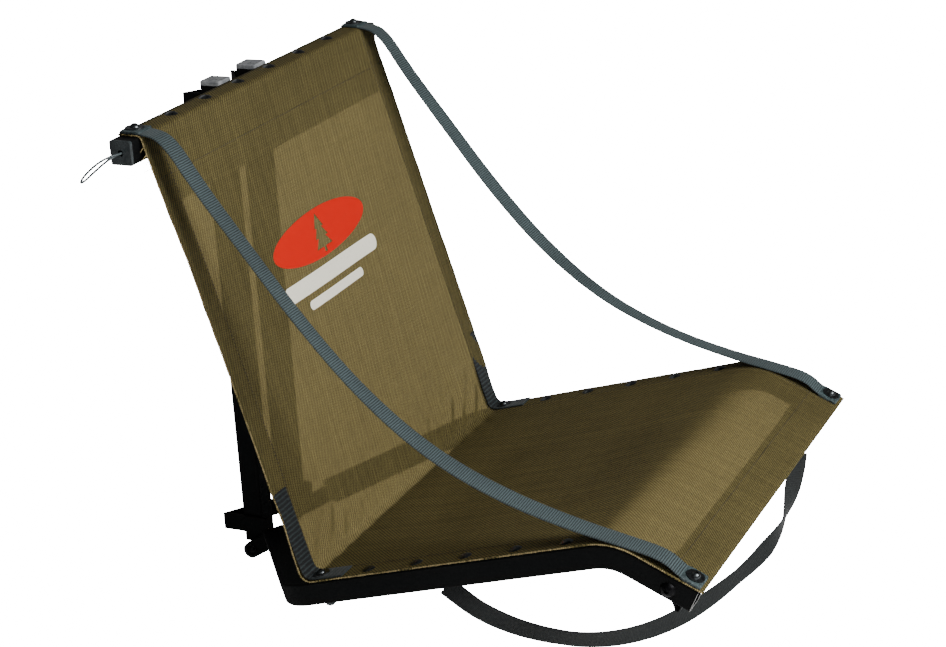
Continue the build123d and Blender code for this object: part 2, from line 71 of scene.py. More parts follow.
# The frame's main lines, as the CAD model has them
tube = 0.0254
cloth = 0.002
webbing = 0.0016
webbingWidth = 0.0254
freeGap = 0.0004
railX = 0.2368
slingHalf = 0.25
barLow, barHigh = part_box("top_bar")
barY, barTop = (barLow.y + barHigh.y) / 2, barHigh.z
slope, dip = math.radians(16.2), math.radians(23.5)
runWay = Vector((0, -math.cos(slope), math.sin(slope)))
runUp = Vector((0, math.sin(slope), math.cos(slope)))
lipWay = Vector((0, -math.cos(dip), -math.sin(dip)))
lipUp = Vector((0, -math.sin(dip), math.cos(dip)))
heelForward, heelDrop = 0.1065, 0.4967  # from the bar
crookAlong, foldBelow = 0.0526, 0.232  # the crook on the rail, and the back's rigid length
runLong, lipLong, lipRadius = 0.4051, 0.0916, 0.060
heel = Vector((0, barY - heelForward, barTop - heelDrop))
knee = heel + runWay * runLong
clothTop = tube / 2 + cloth


def onRun(along, above, x=0.0):
    return heel + runWay * along + runUp * above + Vector((x, 0, 0))


def onLip(along, above, x=0.0):
    return knee + lipWay * along + lipUp * above + Vector((x, 0, 0))


crookPoint = onRun(crookAlong, tube / 2 + cloth / 2)
barEdge = Vector((0, barY - tube / 2 - cloth / 2, barTop + cloth / 2))
backWay = (crookPoint - barEdge).normalized()
backFront = Vector((0, backWay.z, -backWay.y))
backLong = (crookPoint - barEdge).length


def onBack(below, proud, x=0.0):
    return barEdge + backWay * below + backFront * proud + Vector((x, 0, 0))


# Helpers that build shader trees
class Nodes:
    def __init__(self, tree):
        self.tree = tree

    def add(self, kind, **settings):
        node = self.tree.nodes.new(kind)
        for key, value in settings.items():
            setattr(node, key, value)
        return node

    def put(self, socket, value):
        if isinstance(value, bpy.types.NodeSocket):
            self.tree.links.new(value, socket)
        elif value is not None:
            socket.default_value = value

    def math(self, operation, a, b=None, c=None):
        node = self.add("ShaderNodeMath", operation=operation)
        for socket, value in zip(node.inputs, (a, b, c)):
            self.put(socket, value)
        return node.outputs[0]

    def times(self, a, b):
        return self.math("MULTIPLY", a, b)

    def plus(self, a, b):
        return self.math("ADD", a, b)

    def minus(self, a, b):
        return self.math("SUBTRACT", a, b)

    def oneLess(self, a):
        return self.math("SUBTRACT", 1.0, a)

    def over(self, a, b):
        return self.math("DIVIDE", a, b)

    def below(self, a, b):
        return self.math("LESS_THAN", a, b)

    def above(self, a, b):
        return self.math("GREATER_THAN", a, b)

    def larger(self, a, b):
        return self.math("MAXIMUM", a, b)

    def size(self, a):
        return self.math("ABSOLUTE", a)

    def sine(self, a):
        return self.math("SINE", a)

    def mix(self, factor, a, b):
        node = self.add("ShaderNodeMix", data_type="RGBA")
        self.put(node.inputs[0], factor)
        self.put(node.inputs[6], a)
        self.put(node.inputs[7], b)
        return node.outputs[2]

    def spread(self, value, fromLow, fromHigh, toLow=0.0, toHigh=1.0, smooth=False):
        node = self.add("ShaderNodeMapRange", interpolation_type="SMOOTHSTEP" if smooth else "LINEAR")
        for socket, number in zip(node.inputs, (value, fromLow, fromHigh, toLow, toHigh)):
            self.put(socket, number)
        return node.outputs[0]

    def noise(self, vector, scale, detail=2.0, rough=0.5, stretch=(1, 1, 1)):
        if stretch != (1, 1, 1):
            mapping = self.add("ShaderNodeMapping")
            self.put(mapping.inputs["Vector"], vector)
            mapping.inputs["Scale"].default_value = stretch
            vector = mapping.outputs[0]
        node = self.add("ShaderNodeTexNoise")
        self.put(node.inputs["Vector"], vector)
        node.inputs["Scale"].default_value = scale
        node.inputs["Detail"].default_value = detail
        node.inputs["Roughness"].default_value = rough
        return node.outputs["Fac"]

    def split(self, vector):
        node = self.add("ShaderNodeSeparateXYZ")
        self.put(node.inputs[0], vector)
        return node.outputs

    def dot(self, vector, way):
        node = self.add("ShaderNodeVectorMath", operation="DOT_PRODUCT")
        self.put(node.inputs[0], vector)
        node.inputs[1].default_value = way
        return node.outputs["Value"]

    def bump(self, height, distance, strength=1.0, normal=None):
        node = self.add("ShaderNodeBump")
        node.inputs["Distance"].default_value = distance
        node.inputs["Strength"].default_value = strength
        self.put(node.inputs["Height"], height)
        if normal is not None:
            self.put(node.inputs["Normal"], normal)
        return node.outputs[0]

    def group(self, tree, **values):
        node = self.add("ShaderNodeGroup")
        node.node_tree = tree
        for key, value in values.items():
            self.put(node.inputs[key], value)
        return node.outputs


def newGroup(name, inputs, outputs):
    tree = bpy.data.node_groups.new(name, "ShaderNodeTree")
    for key, kind, value in inputs:
        socket = tree.interface.new_socket(key, in_out="INPUT", socket_type=kind)
        if value is not None:
            socket.default_value = value
    for key, kind in outputs:
        tree.interface.new_socket(key, in_out="OUTPUT", socket_type=kind)
    nodes = Nodes(tree)
    return nodes, nodes.add("NodeGroupInput").outputs, nodes.add("NodeGroupOutput").inputs


def newMaterial(name):
    material = bpy.data.materials.new(name)
    material.use_nodes = True
    tree = material.node_tree
    shader = tree.nodes["Principled BSDF"]
    return material, Nodes(tree), shader


def rgb(red, green, blue):
    return (red, green, blue, 1.0)


# Twill: three yarns over, one under, stepping one yarn a row
twill, given, result = newGroup(
    "twillWeave",
    [("Vector", "NodeSocketVector", None), ("Pitch", "NodeSocketFloat", 0.0015)],
    [
        ("Height", "NodeSocketFloat"), ("Warp", "NodeSocketFloat"), ("Hole", "NodeSocketFloat"),
        ("Yarn", "NodeSocketFloat")
    ],
)
across, along, _ = twill.split(given["Vector"])
countX = twill.over(across, given["Pitch"])
countY = twill.over(along, given["Pitch"])
cellX, cellY = twill.math("FLOOR", countX), twill.math("FLOOR", countY)
step = twill.math("FLOORED_MODULO", twill.plus(cellX, cellY), 3.0)
warpOver = twill.below(step, 1.5)
roundX = twill.size(twill.sine(twill.times(countX, math.pi)))
roundY = twill.size(twill.sine(twill.times(countY, math.pi)))
warpHeight = twill.times(roundX, twill.math("MULTIPLY_ADD", roundY, 0.25, 0.75))
weftHeight = twill.times(roundY, twill.math("MULTIPLY_ADD", roundX, 0.25, 0.65))
height = twill.plus(twill.times(warpHeight, warpOver), twill.times(weftHeight, twill.oneLess(warpOver)))
twill.put(result["Height"], height)
twill.put(result["Warp"], warpOver)
twill.put(result["Hole"], twill.times(twill.below(roundX, 0.42), twill.below(roundY, 0.42)))
yarnNoise = twill.add("ShaderNodeTexWhiteNoise", noise_dimensions="2D")
pair = twill.add("ShaderNodeCombineXYZ")
twill.put(pair.inputs[0], twill.plus(cellX, twill.times(warpOver, 57.0)))
twill.put(pair.inputs[1], twill.times(warpOver, 3.0))
twill.put(yarnNoise.inputs["Vector"], pair.outputs[0])
twill.put(result["Yarn"], yarnNoise.outputs["Value"])

# Ribbed webbing: ribs across the band, each made of short slanted yarns
ribs, given, result = newGroup(
    "webbingRibs",
    [("Vector", "NodeSocketVector", None), ("Pitch", "NodeSocketFloat", 0.0021)],
    [
        ("Height", "NodeSocketFloat"), ("Rib", "NodeSocketFloat"), ("Edge", "NodeSocketFloat"),
        ("Fleck", "NodeSocketFloat")
    ],
)
across, along, _ = ribs.split(given["Vector"])
wobble = ribs.times(ribs.minus(ribs.noise(given["Vector"], 260.0, 1.0), 0.5), 0.45)
ribPhase = ribs.plus(ribs.over(along, given["Pitch"]), wobble)
rib = ribs.size(ribs.sine(ribs.times(ribPhase, math.pi)))
yarnPhase = ribs.over(across, 0.00085)
yarnRound = ribs.size(ribs.sine(ribs.times(yarnPhase, math.pi)))
ribs.put(result["Height"], ribs.math("MULTIPLY_ADD", yarnRound, 0.22, ribs.times(rib, 0.78)))
ribs.put(result["Rib"], ribs.math("POWER", rib, 1.6))
ribs.put(result["Edge"], ribs.spread(ribs.size(across), 0.0098, 0.0122, smooth=True))
ribs.put(result["Fleck"], ribs.noise(given["Vector"], 900.0, 2.0, 0.7))

# Broad uneven tone of used cloth and paint
tone, given, result = newGroup(
    "broadTone",
    [("Vector", "NodeSocketVector", None), ("Scale", "NodeSocketFloat", 9.0)],
    [("Broad", "NodeSocketFloat"), ("Fine", "NodeSocketFloat")],
)
broad = tone.add("ShaderNodeTexNoise")
tone.put(broad.inputs["Vector"], given["Vector"])
tone.put(broad.inputs["Scale"], given["Scale"])
broad.inputs["Detail"].default_value = 3.0
fine = tone.add("ShaderNodeTexNoise")
tone.put(fine.inputs["Vector"], given["Vector"])
tone.put(fine.inputs["Scale"], tone.times(given["Scale"], 40.0))
fine.inputs["Detail"].default_value = 4.0
tone.put(result["Broad"], broad.outputs["Fac"])
tone.put(result["Fine"], fine.outputs["Fac"])


def objectPoint(nodes):
    return nodes.add("ShaderNodeTexCoord").outputs["Object"]


def uvPoint(nodes, name="UVMap"):
    return nodes.add("ShaderNodeUVMap", uv_map=name).outputs[0]


# Materials
# low: painted shade in the hollows of the weave, also the random darker tone of some yarns
meshLook = dict(
    lit=rgb(0.212, 0.174, 0.062), low=rgb(0.012, 0.009, 0.0035), weft=rgb(0.047, 0.037, 0.0135),
    pitch=0.00135, bump=0.0005, holes=0.118, plain=0.052, through=rgb(0.95, 0.84, 0.55),
    bandTop=0.1, hemTop=0.047, hemSide=0.0275, hemFront=0.036,
)


# Printed badge, by distances from the bar's edge: an oval, a fir's three boughs and trunk, two bars
badgeLook = dict(
    start=0.025, oval=(0.181, 0.103, 0.0265),
    boughs=((0.159, 0.176, 0.0105), (0.168, 0.187, 0.0145), (0.178, 0.198, 0.0185)),
    trunk=(0.2005, 0.0028, 0.0035),
    bars=((0.0, 0.2245, 0.106, 0.0095), (-0.004, 0.2465, 0.063, 0.0052)),
    ink=rgb(0.66, 0.006, 0.0), barInk=rgb(0.98, 0.94, 0.78),
)


def roundedBar(nodes, u, v, bar):
    middle, down, half, radius = bar
    dx = nodes.larger(nodes.minus(nodes.size(nodes.minus(u, middle)), half - radius), 0.0)
    dy = nodes.minus(v, badgeLook["start"] + down)
    far = nodes.math("SQRT", nodes.plus(nodes.times(dx, dx), nodes.times(dy, dy)))
    return nodes.below(far, radius)


def badgeOval(nodes, u, v):
    down, wide, high = badgeLook["oval"]
    ovalX = nodes.over(u, wide)
    ovalY = nodes.over(nodes.minus(v, badgeLook["start"] + down), high)
    return nodes.below(nodes.plus(nodes.times(ovalX, ovalX), nodes.times(ovalY, ovalY)), 1.0)


def badgeFir(nodes, side, v):
    start = badgeLook["start"]
    fir = None
    for top, bottom, half in badgeLook["boughs"]:
        level = nodes.spread(v, start + top, start + bottom, 0.0, half)
        bough = nodes.times(nodes.below(side, level), nodes.below(v, start + bottom))
        fir = bough if fir is None else nodes.larger(fir, bough)
    middle, half, high = badgeLook["trunk"]
    reach = nodes.size(nodes.minus(v, start + middle))
    trunk = nodes.times(nodes.below(side, half), nodes.below(reach, high))
    return nodes.larger(fir, trunk)


def makeSlingMaterial(slingLong):
    look = meshLook
    material, nodes, shader = newMaterial("slingMesh")
    uv = uvPoint(nodes)
    u, v, _ = nodes.split(uv)
    weave = nodes.group(twill.tree, Vector=uv, Pitch=look["pitch"])
    grain = nodes.group(tone.tree, Vector=uv, Scale=7.0)
    side = nodes.size(u)
    # streaks along the yarns, as a woven sheet shows
    streak = nodes.noise(uv, 55.0, 3.0, 0.6, stretch=(6.0, 0.25, 1))
    crossStreak = nodes.noise(uv, 55.0, 3.0, 0.6, stretch=(0.25, 6.0, 1))
    base = nodes.mix(weave["Warp"], look["weft"], look["lit"])
    # painted shade: the yarns darken towards the low colour in the hollows of the weave, by weave height
    base = nodes.mix(nodes.spread(weave["Height"], 0.85, 0.15, 0.0, 1.0), base, look["low"])
    base = nodes.mix(nodes.spread(weave["Yarn"], 0.0, 1.0, 0.0, 0.3), base, look["low"])
    shade = nodes.spread(streak, 0.3, 0.7, 0.88, 1.1)
    shade = nodes.times(shade, nodes.spread(crossStreak, 0.3, 0.7, 0.92, 1.07))
    shade = nodes.times(shade, nodes.spread(grain["Broad"], 0.3, 0.7, 0.9, 1.08))
    hsv = nodes.add("ShaderNodeHueSaturation")
    nodes.put(hsv.inputs["Value"], shade)
    nodes.put(hsv.inputs["Color"], base)
    colour = hsv.outputs[0]
    # the doubled hems let no light through
    topHem = nodes.below(v, look["bandTop"])
    sideHem = nodes.above(side, slingHalf - look["hemSide"])
    frontHem = nodes.above(v, slingLong - look["hemFront"])
    doubled = nodes.larger(topHem, nodes.larger(sideHem, frontHem))
    badge = nodes.times(badgeOval(nodes, u, v), nodes.oneLess(badgeFir(nodes, side, v)))
    bars = nodes.larger(*(roundedBar(nodes, u, v, bar) for bar in badgeLook["bars"]))
    inkWear = nodes.spread(grain["Fine"], 0.25, 0.45, 0.9, 1.0)
    colour = nodes.mix(nodes.times(badge, inkWear), colour, badgeLook["ink"])
    colour = nodes.mix(nodes.times(bars, inkWear), colour, badgeLook["barInk"])
    ink = nodes.larger(badge, bars)
    nodes.put(shader.inputs["Base Color"], colour)
    nodes.put(shader.inputs["Roughness"], nodes.spread(weave["Height"], 0.0, 1.0, 0.72, 0.55))
    shader.inputs["Specular IOR Level"].default_value = 0.1
    shader.inputs["Sheen Weight"].default_value = 0.02
    shader.inputs["Sheen Roughness"].default_value = 0.4
    shader.inputs["Sheen Tint"].default_value = rgb(0.8, 0.65, 0.3)
    relief = nodes.bump(weave["Height"], look["bump"], 0.8)
    relief = nodes.bump(crossStreak, 0.0006, 0.25, relief)
    nodes.put(shader.inputs["Normal"], relief)
    # open mesh: gaps between the yarns, fewer under ink and none where it is doubled
    gap = nodes.larger(nodes.times(weave["Hole"], look["holes"]), look["plain"])
    gap = nodes.times(gap, nodes.oneLess(nodes.times(doubled, 0.75)))
    gap = nodes.times(gap, nodes.oneLess(nodes.times(ink, 0.95)))
    # the yarns close up where the cloth is seen edge on
    edgeOn = nodes.add("ShaderNodeLayerWeight").outputs["Facing"]
    gap = nodes.times(gap, nodes.spread(edgeOn, 0.72, 0.54, smooth=True))
    openMesh = nodes.add("ShaderNodeBsdfTransparent")
    openMesh.inputs["Color"].default_value = look["through"]
    both = nodes.add("ShaderNodeMixShader")
    nodes.put(both.inputs[0], gap)
    nodes.put(both.inputs[1], shader.outputs[0])
    nodes.put(both.inputs[2], openMesh.outputs[0])
    nodes.put(material.node_tree.nodes["Material Output"].inputs["Surface"], both.outputs[0])
    return material


# dark is painted shade for the grooves between the ribs, light the colour of the rib crests
def makeWebbing(name, dark, light, fleck, pitch=0.0021, thin=1.0, rough=0.6, sealed=None):
    material, nodes, shader = newMaterial(name)
    uv = uvPoint(nodes)
    _, v, _ = nodes.split(uv)
    band = nodes.group(ribs.tree, Vector=uv, Pitch=pitch)
    grain = nodes.group(tone.tree, Vector=objectPoint(nodes), Scale=14.0)
    height = band["Height"]
    # painted shade: dark in the grooves between the ribs, light on the rib crests, by rib height
    colour = nodes.mix(nodes.math("POWER", band["Rib"], thin), dark, light)
    if sealed is not None:
        # the end beyond here is melted flat and paler
        flat = nodes.spread(v, sealed[0], sealed[1], smooth=True)
        colour = nodes.mix(flat, colour, sealed[2])
        height = nodes.times(height, nodes.oneLess(nodes.times(flat, 0.7)))
    colour = nodes.mix(nodes.times(nodes.spread(band["Fleck"], 0.62, 0.75), 0.35), colour, fleck)
    # the band darkens towards its two edges, mixed towards the groove shade colour
    colour = nodes.mix(nodes.times(band["Edge"], 0.35), colour, dark)
    hsv = nodes.add("ShaderNodeHueSaturation")
    nodes.put(hsv.inputs["Value"], nodes.spread(grain["Broad"], 0.3, 0.7, 0.82, 1.15))
    nodes.put(hsv.inputs["Color"], colour)
    nodes.put(shader.inputs["Base Color"], hsv.outputs[0])
    nodes.put(shader.inputs["Roughness"], nodes.spread(band["Fleck"], 0.0, 1.0, rough - 0.1, rough + 0.12))
    shader.inputs["Specular IOR Level"].default_value = 0.3
    shader.inputs["Sheen Weight"].default_value = 0.08
    nodes.put(shader.inputs["Normal"], nodes.bump(height, 0.0004, 0.9))
    return material


def makeSealed():
    material, nodes, shader = newMaterial("sealedWebbing")
    point = objectPoint(nodes)
    speck = nodes.noise(point, 620.0, 4.0, 0.75)
    broadBit = nodes.noise(point, 120.0, 2.0, 0.5)
    colour = nodes.mix(nodes.spread(speck, 0.42, 0.68), rgb(0.012, 0.02, 0.022), rgb(0.1, 0.15, 0.155))
    colour = nodes.mix(nodes.spread(broadBit, 0.35, 0.7, 0.0, 0.6), colour, rgb(0.02, 0.03, 0.032))
    nodes.put(shader.inputs["Base Color"], colour)
    nodes.put(shader.inputs["Roughness"], nodes.spread(speck, 0.3, 0.7, 0.35, 0.7))
    nodes.put(shader.inputs["Normal"], nodes.bump(speck, 0.0005, 0.8))
    return material


def makePaint(name, bareBeyond=None):
    material, nodes, shader = newMaterial(name)
    point = objectPoint(nodes)
    grain = nodes.group(tone.tree, Vector=point, Scale=10.0)
    scuff = nodes.noise(point, 140.0, 4.0, 0.8, stretch=(1, 0.2, 1))
    colour = nodes.mix(
        nodes.spread(grain["Broad"], 0.35, 0.7, 0.0, 1.0), rgb(0.0022, 0.0024, 0.0026),
        rgb(0.0045, 0.0046, 0.0048)
    )
    colour = nodes.mix(nodes.spread(scuff, 0.68, 0.8, 0.0, 0.25), colour, rgb(0.05, 0.05, 0.052))
    rough = nodes.spread(grain["Fine"], 0.3, 0.7, 0.48, 0.65)
    metal = 0.0
    if bareBeyond is not None:
        # sawn ends show bare metal on the end face only
        reach = nodes.dot(point, tuple(lipWay))
        bare = nodes.above(reach, bareBeyond)
        rim = nodes.noise(point, 900.0, 3.0, 0.7)
        bareColour = nodes.mix(nodes.spread(rim, 0.3, 0.7), rgb(0.30, 0.30, 0.29), rgb(0.62, 0.62, 0.6))
        colour = nodes.mix(bare, colour, bareColour)
        metal = bare
        rough = nodes.math("MULTIPLY_ADD", bare, -0.12, rough)
    nodes.put(shader.inputs["Base Color"], colour)
    nodes.put(shader.inputs["Metallic"], metal)
    nodes.put(shader.inputs["Roughness"], rough)
    shader.inputs["Specular IOR Level"].default_value = 0.08
    nodes.put(shader.inputs["Normal"], nodes.bump(grain["Fine"], 0.00012, 0.5))
    return material


def makeMetal(name, dark, light, rough, metallic=1.0, scale=300.0):
    material, nodes, shader = newMaterial(name)
    point = objectPoint(nodes)
    brushed = nodes.noise(point, scale, 3.0, 0.6)
    grain = nodes.group(tone.tree, Vector=point, Scale=40.0)
    nodes.put(shader.inputs["Base Color"], nodes.mix(nodes.spread(brushed, 0.3, 0.72), dark, light))
    shader.inputs["Metallic"].default_value = metallic
    nodes.put(shader.inputs["Roughness"], nodes.spread(grain["Fine"], 0.25, 0.75, rough - 0.08, rough + 0.12))
    nodes.put(shader.inputs["Normal"], nodes.bump(grain["Fine"], 0.0001, 0.4))
    return material


def makePlastic(name, dark, light, rough, coat=0.0):
    material, nodes, shader = newMaterial(name)
    point = objectPoint(nodes)
    cloud = nodes.noise(point, 90.0, 3.0, 0.6)
    pit = nodes.noise(point, 1400.0, 2.0, 0.6)
    nodes.put(shader.inputs["Base Color"], nodes.mix(nodes.spread(cloud, 0.3, 0.7), dark, light))
    nodes.put(shader.inputs["Roughness"], nodes.spread(cloud, 0.3, 0.7, rough, rough + 0.12))
    shader.inputs["Coat Weight"].default_value = coat
    nodes.put(shader.inputs["Normal"], nodes.bump(pit, 0.0001, 0.35))
    return material


def makeThread(name, dark, light):
    material, nodes, shader = newMaterial(name)
    twist = nodes.noise(objectPoint(nodes), 1800.0, 2.0, 0.6)
    nodes.put(shader.inputs["Base Color"], nodes.mix(nodes.spread(twist, 0.35, 0.65), dark, light))
    shader.inputs["Roughness"].default_value = 0.7
    nodes.put(shader.inputs["Normal"], nodes.bump(twist, 0.0001, 0.6))
    return material


# first colour of each webbing: painted shade in the grooves between the ribs; second: the rib crests
slateWebbing = makeWebbing(
    "slateWebbing", rgb(0.003, 0.006, 0.007), rgb(0.068, 0.098, 0.102), rgb(0.17, 0.22, 0.23),
    pitch=0.0025
)
darkWebbing = makeWebbing(
    "darkWebbing", rgb(0.0015, 0.003, 0.0035), rgb(0.026, 0.037, 0.038), rgb(0.03, 0.04, 0.042),
                                      pitch=0.005, thin=5.0, sealed=(0.096, 0.108, rgb(0.016, 0.024, 0.025)))
blackWebbing = makeWebbing(
    "blackWebbing", rgb(0.0035, 0.0045, 0.0045), rgb(0.011, 0.0145, 0.0145), rgb(0.03, 0.036, 0.036),
    rough=0.68
)
sealedWebbing = makeSealed()
endReach = (knee + lipWay * lipLong).dot(lipWay) - 0.0003
paint = makePaint("blackPaint")
railPaint = makePaint("railPaint", bareBeyond=endReach)
gunmetal = makeMetal("gunmetal", rgb(0.035, 0.04, 0.042), rgb(0.13, 0.14, 0.145), 0.3)
blackSteel = makeMetal("blackSteel", rgb(0.006, 0.006, 0.007), rgb(0.02, 0.02, 0.021), 0.38)
ferruleMetal = makeMetal("ferruleMetal", rgb(0.4, 0.4, 0.41), rgb(0.68, 0.68, 0.69), 0.35)
capPlastic = makePlastic("capPlastic", rgb(0.02, 0.025, 0.027), rgb(0.045, 0.055, 0.058), 0.18, 0.5)
greyCap = makePlastic("greyCap", rgb(0.16, 0.17, 0.18), rgb(0.34, 0.35, 0.36), 0.22, 0.3)
nylon = makePlastic("nylonBush", rgb(0.006, 0.006, 0.006), rgb(0.013, 0.013, 0.013), 0.45)
stitchThread = makeThread("stitchThread", rgb(0.02, 0.016, 0.007), rgb(0.06, 0.046, 0.02))
edgeYarn = makeThread("edgeYarn", rgb(0.19, 0.14, 0.055), rgb(0.42, 0.33, 0.15))
print("materials made")

nodeMaterials = {
    paint: [
        "top_bar", "post_left", "post_right", "upper_tree_bracket", "lower_tree_bracket", "hinge_lugs",
        "pivot_spacers", "front_crossbar"
    ],
    railPaint: ["rail_left", "rail_right"],
    gunmetal: [
        "top_bar_rivets", "rail_rivets_left", "rail_rivets_right", "top_strap_washers",
        "top_strap_screws", "top_strap_nuts", "corner_washers", "corner_screws", "corner_nuts",
        "front_strap_washers", "front_strap_screws", "front_strap_nuts"
    ],
    blackSteel: ["pivot_bolts", "pivot_nuts", "front_crossbar_screws", "carry_strap_screw"],
    ferruleMetal: ["cable_ferrule"],
    capPlastic: ["top_bar_end_caps", "post_feet", "front_crossbar_plugs"],
    greyCap: ["post_caps"],
    nylon: ["pivot_bushes"],
    blackWebbing: ["carry_strap_tab"],
}
for material, names in nodeMaterials.items():
    for name in names:
        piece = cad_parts[name]
        piece.data.materials.clear()
        piece.data.materials.append(material)


# Helpers that build meshes
def newPiece(name, vertices, faces, material, uvs=None, smooth=True):
    mesh = bpy.data.meshes.new(name)
    mesh.from_pydata([tuple(v) for v in vertices], [], faces)
    if uvs is not None:
        layer = mesh.uv_layers.new(name="UVMap")
        loops = np.zeros(len(mesh.loops), np.int32)
        mesh.loops.foreach_get("vertex_index", loops)
        layer.data.foreach_set("uv", np.asarray(uvs, np.float32)[loops].ravel())
    if smooth:
        mesh.polygons.foreach_set("use_smooth", [True] * len(mesh.polygons))
    mesh.materials.append(material)
    mesh.update()
    piece = bpy.data.objects.new(name, mesh)
    bpy.context.scene.collection.objects.link(piece)
    return piece


def facesOutward(piece):
    bm = bmesh.new()
    bm.from_mesh(piece.data)
    bmesh.ops.recalc_face_normals(bm, faces=bm.faces)
    bm.to_mesh(piece.data)
    bm.free()
    return piece


def splineLine(name, points, resolution=24):
    curve = bpy.data.curves.new(name, "CURVE")
    curve.dimensions = "3D"
    curve.resolution_u = resolution
    spline = curve.splines.new("NURBS")
    spline.points.add(len(points) - 1)
    for slot, point in zip(spline.points, points):
        slot.co = (*point, 1.0)
    spline.order_u = 3
    spline.use_endpoint_u = True
    holder = bpy.data.objects.new(name, curve)
    bpy.context.scene.collection.objects.link(holder)
    bpy.context.view_layer.update()
    mesh = bpy.data.meshes.new_from_object(holder)
    line = np.array([v.co for v in mesh.vertices], float)
    bpy.data.objects.remove(holder)
    bpy.data.meshes.remove(mesh)
    bpy.data.curves.remove(curve)
    return line


def evenly(line, spacing):
    steps = np.linalg.norm(np.diff(line, axis=0), axis=1)
    at = np.concatenate([[0.0], np.cumsum(steps)])
    count = max(2, int(round(at[-1] / spacing)) + 1)
    wanted = np.linspace(0.0, at[-1], count)
    even = np.stack([np.interp(wanted, at, line[:, k]) for k in range(3)], axis=1)
    return even, wanted


def tangents(line):
    way = np.gradient(line, axis=0)
    return way / np.linalg.norm(way, axis=1)[:, None]


bandEdge = [
    (-1.0, 0.0), (-0.96, 0.7), (-0.85, 1.0), (-0.4, 1.0),
    (0.0, 1.0), (0.4, 1.0), (0.85, 1.0), (0.96, 0.7),
]


def ribbon(name, line, at, widthWays, width, thickness, material, rib=None):
    ways = tangents(line)
    widthWays = widthWays - (widthWays * ways).sum(1)[:, None] * ways
    widthWays = widthWays / np.linalg.norm(widthWays, axis=1)[:, None]
    normals = np.cross(ways, widthWays)
    half, thick = width / 2, thickness / 2
    profile = bandEdge + [(-a, -b) for a, b in bandEdge]
    around = len(profile)
    swell = np.ones(len(line))
    if rib is not None:
        swell = 1.0 + rib[1] * (np.abs(np.sin(math.pi * at / rib[0])) - 0.6)
    vertices, uvs, faces = [], [], []
    for i, point in enumerate(line):
        for a, b in profile:
            ribHeight = swell[i] if abs(b) > 0.8 else 1.0
            vertices.append(point + widthWays[i] * (a * half) + normals[i] * (b * thick * ribHeight))
            uvs.append((a * half, at[i]))
    for i in range(len(line) - 1):
        for k in range(around):
            n = (k + 1) % around
            faces.append((i * around + k, i * around + n, (i + 1) * around + n, (i + 1) * around + k))
    faces.append(tuple(reversed(range(around))))
    last = (len(line) - 1) * around
    faces.append(tuple(last + k for k in range(around)))
    return facesOutward(newPiece(name, vertices, faces, material, uvs))


def tubeAlong(name, line, at, radius, material, sides=12, lay=None):
    ways = tangents(line)
    side = np.cross(ways[0], np.array([0.0, 0.0, 1.0]))
    side /= np.linalg.norm(side)
    vertices, uvs, faces = [], [], []
    for i, point in enumerate(line):
        side = side - (side @ ways[i]) * ways[i]
        side /= np.linalg.norm(side)
        other = np.cross(ways[i], side)
        for k in range(sides):
            turn = 2 * math.pi * k / sides
            grow = radius
            if lay is not None:
                grow = radius * (
                    1.0 + lay[1] * (
                        abs(math.sin(lay[2] / 2 * (turn + 2 * math.pi * at[i] / lay[0]))) - 1.0
                    )
                )
            vertices.append(point + (side * math.cos(turn) + other * math.sin(turn)) * grow)
            uvs.append((k / sides, at[i]))
    for i in range(len(line) - 1):
        for k in range(sides):
            n = (k + 1) % sides
            faces.append((i * sides + k, i * sides + n, (i + 1) * sides + n, (i + 1) * sides + k))
    faces.append(tuple(reversed(range(sides))))
    faces.append(tuple((len(line) - 1) * sides + k for k in range(sides)))
    return facesOutward(newPiece(name, vertices, faces, material, uvs))


